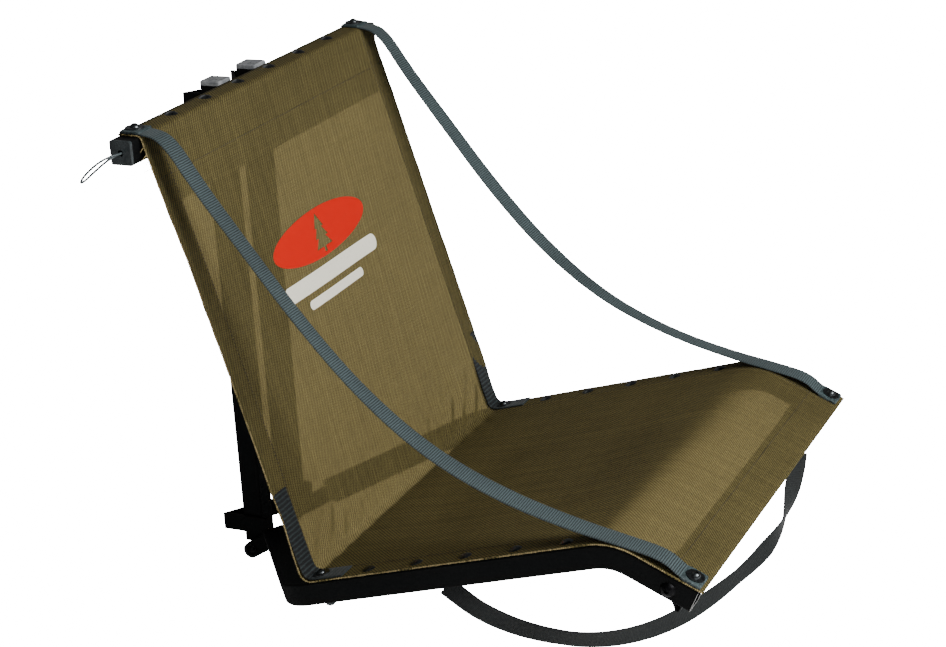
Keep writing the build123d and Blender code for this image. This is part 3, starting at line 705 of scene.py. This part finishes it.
# Beads or stitches strung along lines, made by geometry nodes
def strungTree():
    tree = bpy.data.node_groups.new("strungAlong", "GeometryNodeTree")
    wanted = [
        ("Geometry", "NodeSocketGeometry", None), ("Pitch", "NodeSocketFloat", 0.004),
        ("Long", "NodeSocketFloat", 0.0015), ("Wide", "NodeSocketFloat", 0.0005),
        ("Jitter", "NodeSocketFloat", 0.1), ("Seed", "NodeSocketInt", 3),
        ("Material", "NodeSocketMaterial", None),
    ]
    for key, kind, value in wanted:
        socket = tree.interface.new_socket(key, in_out="INPUT", socket_type=kind)
        if value is not None:
            socket.default_value = value
    tree.interface.new_socket("Geometry", in_out="OUTPUT", socket_type="NodeSocketGeometry")
    new, link = tree.nodes.new, tree.links.new
    start, end = new("NodeGroupInput").outputs, new("NodeGroupOutput").inputs
    toCurve = new("GeometryNodeMeshToCurve")
    link(start["Geometry"], toCurve.inputs["Mesh"])
    toPoints = new("GeometryNodeCurveToPoints")
    toPoints.mode = "LENGTH"
    link(toCurve.outputs[0], toPoints.inputs["Curve"])
    link(start["Pitch"], toPoints.inputs["Length"])
    bead = new("GeometryNodeMeshIcoSphere")
    bead.inputs["Subdivisions"].default_value = 2
    bead.inputs["Radius"].default_value = 1.0
    size = new("ShaderNodeCombineXYZ")
    link(start["Wide"], size.inputs[0])
    link(start["Wide"], size.inputs[1])
    link(start["Long"], size.inputs[2])
    vary = new("FunctionNodeRandomValue")
    vary.data_type = "FLOAT"
    low, high = new("ShaderNodeMath"), new("ShaderNodeMath")
    low.operation, high.operation = "SUBTRACT", "ADD"
    low.inputs[0].default_value = high.inputs[0].default_value = 1.0
    link(start["Jitter"], low.inputs[1])
    link(start["Jitter"], high.inputs[1])
    floats = [s for s in vary.inputs if s.type == "VALUE" and s.name in ("Min", "Max")]
    link(low.outputs[0], floats[0])
    link(high.outputs[0], floats[1])
    link(start["Seed"], vary.inputs["Seed"])
    scaled = new("ShaderNodeVectorMath")
    scaled.operation = "SCALE"
    link(size.outputs[0], scaled.inputs[0])
    link([s for s in vary.outputs if s.type == "VALUE"][0], scaled.inputs["Scale"])
    place = new("GeometryNodeInstanceOnPoints")
    link(toPoints.outputs["Points"], place.inputs["Points"])
    link(bead.outputs["Mesh"], place.inputs["Instance"])
    align = new("FunctionNodeAlignEulerToVector")
    align.axis = "Z"
    link(toPoints.outputs["Tangent"], align.inputs["Vector"])
    link(align.outputs[0], place.inputs["Rotation"])
    link(scaled.outputs[0], place.inputs["Scale"])
    smooth = new("GeometryNodeSetShadeSmooth")
    real = new("GeometryNodeRealizeInstances")
    paintNode = new("GeometryNodeSetMaterial")
    link(place.outputs[0], real.inputs[0])
    link(real.outputs[0], smooth.inputs[0])
    link(smooth.outputs[0], paintNode.inputs["Geometry"])
    link(start["Material"], paintNode.inputs["Material"])
    link(paintNode.outputs[0], end["Geometry"])
    return tree


strung = strungTree()


def strungPiece(name, lines, material, **values):
    vertices, edges = [], []
    for line in lines:
        first = len(vertices)
        vertices += [tuple(p) for p in line]
        edges += [(first + i, first + i + 1) for i in range(len(line) - 1)]
    mesh = bpy.data.meshes.new(name + "Lines")
    mesh.from_pydata(vertices, edges, [])
    carrier = bpy.data.objects.new(name + "Lines", mesh)
    bpy.context.scene.collection.objects.link(carrier)
    modifier = carrier.modifiers.new("strung", "NODES")
    modifier.node_group = strung
    sockets = {s.name: s.identifier for s in strung.interface.items_tree if s.in_out == "INPUT"}
    for key, value in values.items():
        modifier[sockets[key]] = value
    modifier[sockets["Material"]] = material
    bpy.context.view_layer.update()
    graph = bpy.context.evaluated_depsgraph_get()
    made = bpy.data.meshes.new_from_object(carrier.evaluated_get(graph))
    carrier.modifiers.remove(modifier)
    bpy.data.objects.remove(carrier)
    made.name = name
    piece = bpy.data.objects.new(name, made)
    bpy.context.scene.collection.objects.link(piece)
    return piece


# Sling
slingLook = dict(
    thickness=0.0013, topGap=0.00005, rearLap=0.0115, frontLap=0.004, edgeRadius=0.005, crookRadius=0.011,
    seatSag=0.0055, sagHalf=0.222, sagIn=(0.012, 0.11), sagOut=(0.12, 0.02),
    backWave=0.0009, waveLong=0.21, waveIn=(0.03, 0.15), waveOut=(0.08, 0.01), edgeCurl=0.0016,
    ripple=0.0013, creaseLong=0.034, creaseAt=(0.018, 0.035), foldLong=0.061, foldAt=(0.06, 0.05),
)


def slingProfile(look):
    mid = cloth - look["thickness"] / 2 - look["topGap"]
    rear = Vector((0, barY + look["rearLap"], barTop + mid))
    edge = Vector((0, barY - tube / 2 - mid, barTop + mid))
    crook = onRun(crookAlong, tube / 2 + mid)
    bend = onRun(runLong, 0) + (runUp + lipUp).normalized() * ((tube / 2 + mid) / math.cos((slope + dip) / 2))
    tip = onLip(lipLong + look["frontLap"], tube / 2 + mid)
    corners = [rear, edge, crook, bend, tip]
    radii = [look["edgeRadius"], look["crookRadius"], lipRadius + tube / 2 + mid]
    line = [rear]
    for before, here, after, radius in zip(corners, corners[1:], corners[2:], radii):
        inWay, outWay = (here - before).normalized(), (after - here).normalized()
        turn = inWay.angle(outWay)
        reach = radius * math.tan(turn / 2)
        middle = here + (outWay - inWay).normalized() * (radius / math.cos(turn / 2))
        first = here - inWay * reach
        steps = max(6, int(radius * turn / 0.0015)) if radius < 0.02 else max(10, int(radius * turn / 0.004))
        span = line[-1]
        count = max(1, int((first - span).length / 0.005))
        line += [span.lerp(first, k / count) for k in range(1, count)]
        arm = first - middle
        bendAxis = inWay.cross(outWay).normalized()
        line += [middle + Matrix.Rotation(turn * k / steps, 3, bendAxis) @ arm for k in range(steps + 1)]
    count = int((corners[-1] - line[-1]).length / 0.005)
    span = line[-1]
    line += [span.lerp(corners[-1], k / count) for k in range(1, count + 1)]
    return np.array([tuple(p) for p in line])


profileLine = slingProfile(slingLook)
profileAt = np.concatenate([[0.0], np.cumsum(np.linalg.norm(np.diff(profileLine, axis=0), axis=1))])
slingLong = float(profileAt[-1])
profileWays = tangents(profileLine)
profileNormals = np.cross(profileWays, np.array([1.0, 0.0, 0.0]))
if profileNormals[5, 2] < 0:
    profileNormals = -profileNormals
edgeAt = slingLook["rearLap"] + tube / 2
crookAt = float(profileAt[np.argmin(np.linalg.norm(profileLine - np.array(crookPoint), axis=1))])
kneeAt = float(
    profileAt[
        np.argmin(np.linalg.norm(profileLine - np.array(onRun(runLong, tube / 2 + cloth)), axis=1))
    ]
)
print("sling", round(slingLong, 4), "crook at", round(crookAt, 4), "knee at", round(kneeAt, 4))
slingMaterial = makeSlingMaterial(slingLong)


def ramp(value, low, high):
    t = np.clip((value - low) / (high - low), 0, 1)
    return t * t * (3 - 2 * t)


def slingProud(x, s):
    look = slingLook
    fromCrook = s - crookAt
    middle = np.clip(1 - (x / look["sagHalf"]) ** 2, 0, 1)
    sagIn, sagOut = look["sagIn"], look["sagOut"]
    seat = ramp(s, crookAt + sagIn[0], crookAt + sagIn[1]) * (
        1 - ramp(s, kneeAt - sagOut[0], kneeAt - sagOut[1])
    )
    out = -look["seatSag"] * middle * seat
    waveIn, waveOut = look["waveIn"], look["waveOut"]
    back = ramp(s, edgeAt + waveIn[0], edgeAt + waveIn[1])
    back = back * (1 - ramp(s, crookAt - waveOut[0], crookAt - waveOut[1]))
    wave = np.sin(2 * math.pi * (x + 0.06) / look["waveLong"] + 1.1 * np.sin(s * 9))
    out = out + look["backWave"] * back * wave
    out = out + look["edgeCurl"] * back * (x / slingHalf) ** 4
    # short creases close to the crook, and longer folds above them
    near = np.exp(-((fromCrook + look["creaseAt"][0]) / look["creaseAt"][1]) ** 2)
    crease = np.sin(2 * math.pi * (x + 0.8 * fromCrook) / look["creaseLong"])
    toEdges = ramp(np.abs(x), 0.02, 0.16) * (1 - ramp(np.abs(x), 0.2, 0.235))
    out = out + look["ripple"] * near * crease * toEdges
    higher = np.exp(-((fromCrook + look["foldAt"][0]) / look["foldAt"][1]) ** 2)
    out = out + look["ripple"] * 0.7 * higher * np.sin(2 * math.pi * (x - 0.5 * s) / look["foldLong"])
    return out


def slingPoint(x, s, lift=0.0):
    base = np.stack([np.interp(s, profileAt, profileLine[:, k]) for k in range(3)], axis=-1)
    normal = np.stack([np.interp(s, profileAt, profileNormals[:, k]) for k in range(3)], axis=-1)
    normal = normal / np.linalg.norm(normal, axis=-1, keepdims=True)
    point = base + normal * (slingProud(x, s) + lift)[..., None]
    point[..., 0] = x
    return point


def makeSling():
    look = slingLook
    xs = np.linspace(-slingHalf, slingHalf, 101)
    ss = profileAt
    gridX, gridS = np.meshgrid(xs, ss)
    wavy = 0.0004 * np.sin(gridS * 190) + 0.0005 * np.sin(gridS * 61 + 1)
    gridX = gridX + np.sign(gridX) * wavy * (np.abs(gridX) > 0.249)
    top = slingPoint(gridX, gridS, look["thickness"] / 2).reshape(-1, 3)
    bottom = slingPoint(gridX, gridS, -look["thickness"] / 2).reshape(-1, 3)
    rows, cols = gridX.shape
    n = rows * cols
    faces = []
    for i in range(rows - 1):
        for k in range(cols - 1):
            a = i * cols + k
            quad = (a, a + 1, a + cols + 1, a + cols)
            faces.append(quad)
            faces.append(tuple(n + q for q in reversed(quad)))
    for i in range(rows - 1):
        for k in (0, cols - 1):
            a, b = i * cols + k, (i + 1) * cols + k
            faces.append((a, b, n + b, n + a))
    for i in (0, rows - 1):
        for k in range(cols - 1):
            a = i * cols + k
            faces.append((a, a + 1, n + a + 1, n + a))
    uvs = np.stack([gridX.ravel(), gridS.ravel()], axis=1)
    return facesOutward(
        newPiece(
            "sling", np.concatenate([top, bottom]), faces, slingMaterial, np.concatenate([uvs, uvs])
        )
    )


sling = makeSling()
steps = np.arange(edgeAt + 0.004, slingLong - 0.004, 0.004)
acrossSteps = np.arange(-slingHalf + 0.004, slingHalf - 0.004, 0.004)
lift = slingLook["thickness"] / 2 + 0.0001
stitchLines = [
    slingPoint(
        np.full_like(steps, side * (slingHalf - meshLook["hemSide"])), steps, np.full_like(steps, lift)
    )
    for side in (-1, 1)
]
stitchLines += [
    slingPoint(acrossSteps, np.full_like(acrossSteps, at), np.full_like(acrossSteps, lift))
    for at in (edgeAt + meshLook["hemTop"], slingLong - meshLook["hemFront"])
]
stitches = strungPiece(
    "slingStitches", stitchLines, stitchThread, Pitch=0.0042, Long=0.0017, Wide=0.00042, Jitter=0.12,
    Seed=4
)
edgeSteps = np.arange(0.001, slingLong - 0.001, 0.003)
beadLines = [
    slingPoint(
        np.full_like(edgeSteps, side * (slingHalf - 0.0002)), edgeSteps, np.zeros_like(edgeSteps)
    )
    for side in (-1, 1)
]
beads = strungPiece(
    "slingEdgeBeads", beadLines, edgeYarn, Pitch=0.0021, Long=0.0010, Wide=0.00085, Jitter=0.2, Seed=9
)
for piece in (sling, stitches, beads):
    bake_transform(piece)
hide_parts("sling_back", "sling_crook", "sling_seat")
print("sling made")

# Loose threads where the left edge is frayed, below the bar
fray = dict(count=7, seed=12, radius=0.00035)
random = np.random.default_rng(fray["seed"])
for index in range(fray["count"]):
    s = edgeAt + 0.012 + 0.034 * random.random()
    root = slingPoint(np.array([-slingHalf]), np.array([s]), np.array([0.0]))[0]
    reach = 0.004 + 0.008 * random.random()
    ends = [
        root + np.array([0.003, 0, 0]),
        root,
        root + np.array([-reach * 0.5, -0.001, 0.002 * random.random()]),
        root + np.array([-reach, -0.002 + 0.004 * random.random(), -0.006 * random.random()]),
    ]
    thread, at = evenly(splineLine("thread", ends, 8), 0.0012)
    piece = tubeAlong(f"looseThread{index + 1}", thread, at, fray["radius"], edgeYarn, sides=6)
    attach(piece, backFrame)


# Arm straps
doubledLong = 0.022
strapLay = cloth + freeGap + webbing / 2
frontEnd = onLip(lipLong, tube / 2 + strapLay)
frontBend = onLip(lipLong - doubledLong, tube / 2 + strapLay)
armPoints = [
    (0.0105, strapLay), (-0.014, strapLay + 0.0001), (-0.038, -0.004), (-0.066, -0.048),
    (-0.112, -0.108), (-0.170, -0.184), (-0.232, -0.252), (-0.302, -0.307),
    (-0.378, -0.342), (-0.454, -0.363), (-0.518, -0.3745), (-0.550, -0.382),
]
armRoute = [(barY + y, barTop + z) for y, z in armPoints]
armRoute += [(frontBend.y, frontBend.z), (frontEnd.y, frontEnd.z)]
strapLook = dict(rib=(0.0025, 0.2), step=0.00052, length=0.7554, roll=0.18, padSide=0.0004, padEnd=0.0005)


def softPad(name, middle, ways, size, material, seed, rough=0.00022):
    bm = bmesh.new()
    bmesh.ops.create_cube(bm, size=1.0)
    bmesh.ops.subdivide_edges(bm, edges=bm.edges[:], cuts=11, use_grid_fill=True)
    random = np.random.default_rng(seed)
    half = np.array(size) / 2
    for v in bm.verts:
        p = np.array(v.co) * 2
        corner = max(abs(p[0]), abs(p[1]))
        p[2] *= 1.0 - 0.32 * max(0.0, corner - 0.8) / 0.2
        out = p * half + random.normal(0.0, rough, 3) * np.array([1.0, 1.0, 0.35])
        if abs(p[0]) > 0.8 and abs(p[1]) > 0.8:
            out[:2] *= 0.965
        v.co = Vector(middle) + ways[0] * out[0] + ways[1] * out[1] + ways[2] * out[2]
    mesh = bpy.data.meshes.new(name)
    bm.to_mesh(mesh)
    bm.free()
    mesh.materials.append(material)
    piece = bpy.data.objects.new(name, mesh)
    bpy.context.scene.collection.objects.link(piece)
    soften = piece.modifiers.new("soften", "SUBSURF")
    soften.levels = soften.render_levels = 1
    bpy.context.view_layer.update()
    made = bpy.data.meshes.new_from_object(piece.evaluated_get(bpy.context.evaluated_depsgraph_get()))
    piece.modifiers.remove(soften)
    piece.data = made
    made.polygons.foreach_set("use_smooth", [True] * len(made.polygons))
    return facesOutward(piece)


padLift = cloth + freeGap + webbing
padSize = (webbingWidth + 2 * strapLook["padSide"], doubledLong + 2 * strapLook["padEnd"], 2 * webbing)
padBack = doubledLong / 2 + strapLook["padEnd"]
for side, where in ((-1, "left"), (1, "right")):
    route = [(side * railX, y, z) for y, z in armRoute]
    line, at = evenly(splineLine("armLine", route), strapLook["step"])
    ways = np.tile([1.0, 0.0, 0.0], (len(line), 1))
    # the webbing rolls a little in the air between its two ends
    lean = np.sin(np.clip((at - 0.03) / (at[-1] - 0.12), 0, 1) * math.pi)
    ways[:, 2] += side * strapLook["roll"] * lean * np.sin(at * 7.0)
    strap = ribbon(
        f"armStrap_{where}", line, at, ways, webbingWidth, webbing * 0.95, slateWebbing,
        rib=strapLook["rib"],
    )
    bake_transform(strap)
    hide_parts(f"arm_strap_{where}")
    topMiddle = Vector((side * railX, barY + armPoints[0][0] - padBack, barTop + padLift))
    topWays = (Vector((1, 0, 0)), Vector((0, 1, 0)), Vector((0, 0, 1)))
    frontMiddle = onLip(lipLong - padBack, tube / 2 + padLift, side * railX)
    frontWays = (Vector((1, 0, 0)), lipWay, lipUp)
    # the doubled ends are melted together, and each rides with its own frame
    topPad = softPad(
        f"armStrapTopEnd_{where}", topMiddle, topWays, padSize, sealedWebbing, 21 + side
    )
    frontPad = softPad(
        f"armStrapFrontEnd_{where}", frontMiddle, frontWays, padSize, sealedWebbing, 31 + side
    )
    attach(topPad, backFrame)
    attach(frontPad, seatFrame)
print("arm straps made")


# Corner patches
patchLook = dict(up=0.099, forward=0.048, rib=(0.005, 0.2), step=0.00052)
patchProud = cloth / 2 + freeGap + webbing / 2
patchCorner = crookPoint + (backFront + runUp).normalized() * patchProud * 1.4
patchTop = onBack(backLong - patchLook["up"], patchProud)
patchEnd = onRun(crookAlong + patchLook["forward"], clothTop + freeGap + webbing / 2)
for side, where in ((-1, "left"), (1, "right")):
    upWay = (patchTop - patchCorner).normalized()
    outWay = (patchEnd - patchCorner).normalized()
    route = [
        patchTop, patchCorner + upWay * 0.05, patchCorner + upWay * 0.013,
        patchCorner + upWay * 0.002 + outWay * 0.002,
        patchCorner + outWay * 0.013, patchCorner + outWay * 0.03, patchEnd,
    ]
    placed = [tuple(p + Vector((side * railX, 0, 0))) for p in route]
    line, at = evenly(splineLine("patchLine", placed), patchLook["step"])
    ways = np.tile([1.0, 0.0, 0.0], (len(line), 1))
    patch = ribbon(
        f"cornerPatch_{where}", line, at, ways, webbingWidth, webbing * 0.95, darkWebbing,
        rib=patchLook["rib"]
    )
    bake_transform(patch)
    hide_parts(f"corner_patch_{where}")
print("corner patches made")


# Carry strap
carryRoute = [
    (-0.222, -0.365, -0.4415), (-0.219, -0.378, -0.453), (-0.207, -0.390, -0.471),
    (-0.186, -0.403, -0.492), (-0.158, -0.418, -0.515), (-0.124, -0.437, -0.538),
    (-0.084, -0.460, -0.560), (-0.038, -0.487, -0.575), (0.012, -0.516, -0.580),
    (0.060, -0.545, -0.571), (0.100, -0.568, -0.557), (0.134, -0.588, -0.540),
    (0.156, -0.601, -0.519), (0.167, -0.608, -0.493), (0.173, -0.612, -0.467),
    (0.177, -0.615, -0.447), (0.1798, -0.6155, -0.432),
]
carryLook = dict(width=0.0205, thickness=0.0018, length=0.5951, step=0.0016, rib=(0.0032, 0.12))
line, at = evenly(splineLine("carryLine", carryRoute), carryLook["step"])
share = at / at[-1]
# how far the band is turned about its own line, from facing the front left
turnAt = [
    (0.0, 10), (0.12, 15), (0.3, 30), (0.45, 20), (0.6, 8), (0.72, 35), (0.8, 20), (0.87, 75),
    (0.93, 20), (1.0, 0)
]
turn = np.radians(np.interp(share, [p[0] for p in turnAt], [p[1] for p in turnAt]))
ways = tangents(line)
seen = np.array([0.846, 0.404, -0.348])
flat = np.cross(ways, seen)
flat /= np.linalg.norm(flat, axis=1)[:, None]
other = np.cross(ways, flat)
widthWays = flat * np.cos(turn)[:, None] + other * np.sin(turn)[:, None]
carry = ribbon(
    "carryStrap", line, at, widthWays, carryLook["width"], carryLook["thickness"], blackWebbing,
    rib=carryLook["rib"]
)
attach(carry, seatFrame)
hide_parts("carry_strap")

# Webbing loops
loopLook = dict(width=0.0254, thickness=0.0015, drop=0.036, tip=0.0022, step=0.0011, rib=(0.0021, 0.14))
frontLow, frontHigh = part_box("front_crossbar")
barMiddle = Vector((0, (frontLow.y + frontHigh.y) / 2, (frontLow.z + frontHigh.z) / 2))


def loopOutline(look):
    grow = tube / 2 + 0.00015 + look["thickness"] / 2
    corners = [
        barMiddle + lipWay * (a * grow) + lipUp * (b * grow)
        for a, b in ((-1, -0.4), (-1, 0.9), (-0.9, 1), (0.9, 1), (1, 0.9), (1, -0.4))
    ]
    low = barMiddle - Vector((0, 0, look["drop"]))
    return [
        low + Vector((0, look["tip"], 0.0)), *corners, low + Vector((0, -look["tip"], 0.0)),
        low + Vector((0, 0.0, -0.0022)), low + Vector((0, look["tip"], 0.0))
    ]


def webbingLoop(name, x, look, node):
    outline = [tuple(p + Vector((x, 0, 0))) for p in loopOutline(look)]
    line, at = evenly(np.array(outline), 0.0022)
    for _ in range(3):
        line[1:-1] = (line[:-2] + 2 * line[1:-1] + line[2:]) / 4
    line, at = evenly(line, look["step"])
    ways = np.tile([1.0, 0.0, 0.0], (len(line), 1))
    piece = ribbon(name, line, at, ways, look["width"], look["thickness"], blackWebbing, rib=look["rib"])
    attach(piece, seatFrame)
    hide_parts(node)
    return piece


gearLow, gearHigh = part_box("gear_loops")
loopHalf = loopLook["width"] / 2
webbingLoop("gearLoop_left", gearLow.x + loopHalf, loopLook, "gear_loops")
webbingLoop("gearLoop_right", gearHigh.x - loopHalf, loopLook, "gear_loops")
carryLow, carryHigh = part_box("carry_strap_loop")
webbingLoop("carryStrapLoop", (carryLow.x + carryHigh.x) / 2, loopLook, "carry_strap_loop")
print("carry strap and loops made")

# Cable loop
barZ = (barLow.z + barHigh.z) / 2
cablePoints = [
    (-0.2489, -0.0014, 0.0002), (-0.258, -0.00135, -0.0001), (-0.269, -0.001, 0.0003),
    (-0.281, 0.003, 0.0006), (-0.292, 0.0085, -0.0024), (-0.301, 0.0145, -0.0086),
    (-0.3065, 0.0195, -0.015), (-0.3055, 0.0235, -0.0208), (-0.2995, 0.0225, -0.0205),
    (-0.291, 0.0165, -0.0135), (-0.280, 0.0074, -0.0042), (-0.2695, 0.0017, -0.0007),
    (-0.259, 0.0015, -0.0003), (-0.2489, 0.0014, -0.0001),
]
cableRoute = [(x, barY + y, barZ + z) for x, y, z in cablePoints]
cableLook = dict(diameter=0.0024, length=0.1413, lay=(0.011, 0.14, 6))
cableCoat = makePlastic("cableCoat", rgb(0.03, 0.04, 0.043), rgb(0.085, 0.105, 0.11), 0.3, 0.2)
line, at = evenly(splineLine("cableLine", cableRoute), 0.0007)
cable = tubeAlong("cableLoop", line, at, cableLook["diameter"] / 2, cableCoat, sides=24, lay=cableLook["lay"])
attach(cable, backFrame)
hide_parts("cable_loop")
print("cable made")


# Floor, light and camera
stageLook = dict(floorZ=boxAtStart[0].z - 0.012, half=9.0, glow=26.0)


def makeStage(look):
    material, nodes, shader = newMaterial("paleFloor")
    cloud = nodes.noise(objectPoint(nodes), 3.0, 2.0, 0.5)
    nodes.put(
        shader.inputs["Base Color"],
        nodes.mix(nodes.spread(cloud, 0.3, 0.7), rgb(0.86, 0.86, 0.86), rgb(0.9, 0.9, 0.9))
    )
    shader.inputs["Emission Color"].default_value = rgb(1.0, 1.0, 1.0)
    seenOnly = nodes.add("ShaderNodeLightPath").outputs["Is Camera Ray"]
    nodes.put(shader.inputs["Emission Strength"], nodes.times(seenOnly, look["glow"]))
    shader.inputs["Roughness"].default_value = 0.9
    shader.inputs["Specular IOR Level"].default_value = 0.1
    h, z = look["half"], look["floorZ"]
    floor = newPiece(
        "floor", [(-h, -h, z), (h, -h, z), (h, h, z), (-h, h, z)], [(0, 1, 2, 3)], material,
        smooth=False
    )


makeStage(stageLook)

world = bpy.data.worlds.new("studio")
bpy.context.scene.world = world
world.use_nodes = True
sky = Nodes(world.node_tree)
background = world.node_tree.nodes["Background"]
background.inputs["Color"].default_value = (1.0, 1.0, 1.0, 1.0)
path = sky.add("ShaderNodeLightPath")
sky.put(background.inputs["Strength"], sky.spread(path.outputs["Is Camera Ray"], 0.0, 1.0, 0.10, 26.0))


def areaLight(name, place, aim, size, power, colour=(1.0, 1.0, 1.0)):
    light = bpy.data.lights.new(name, "AREA")
    light.shape = "RECTANGLE"
    light.size, light.size_y = size
    light.energy = power
    light.color = colour
    holder = bpy.data.objects.new(name, light)
    bpy.context.scene.collection.objects.link(holder)
    holder.location = place
    holder.rotation_mode = "QUATERNION"
    holder.rotation_quaternion = (Vector(aim) - Vector(place)).to_track_quat("-Z", "Y")


areaLight("keyLight", (-0.35, -2.0, 0.85), (0, -0.45, -0.3), (1.2, 0.8), 66.0)
areaLight("fillLight", (-2.4, -0.9, 0.9), (0, -0.3, -0.3), (1.2, 1.2), 5.0)
areaLight("rimLight", (1.0, 1.5, 1.3), (0, -0.2, -0.1), (1.2, 0.8), 3.0)

camera = bpy.data.cameras.new("camera")
camera.sensor_width, camera.sensor_fit = 36.0, "HORIZONTAL"
camera.lens = 82.342
camera.clip_start, camera.clip_end = 0.05, 60.0
holder = bpy.data.objects.new("camera", camera)
bpy.context.scene.collection.objects.link(holder)
rightWay, downWay, viewWay = (0.41174, -0.90964, -0.05508), (-0.33849, -0.09654, -0.93600), (
    0.84610, 0.40403, -0.34766
)
turned = Matrix((rightWay, tuple(-v for v in downWay), tuple(-v for v in viewWay))).transposed()
holder.matrix_world = Matrix.Translation((-1.981351, -1.252291, 0.570888)) @ turned.to_4x4()
bpy.context.scene.camera = holder
print("stage made")
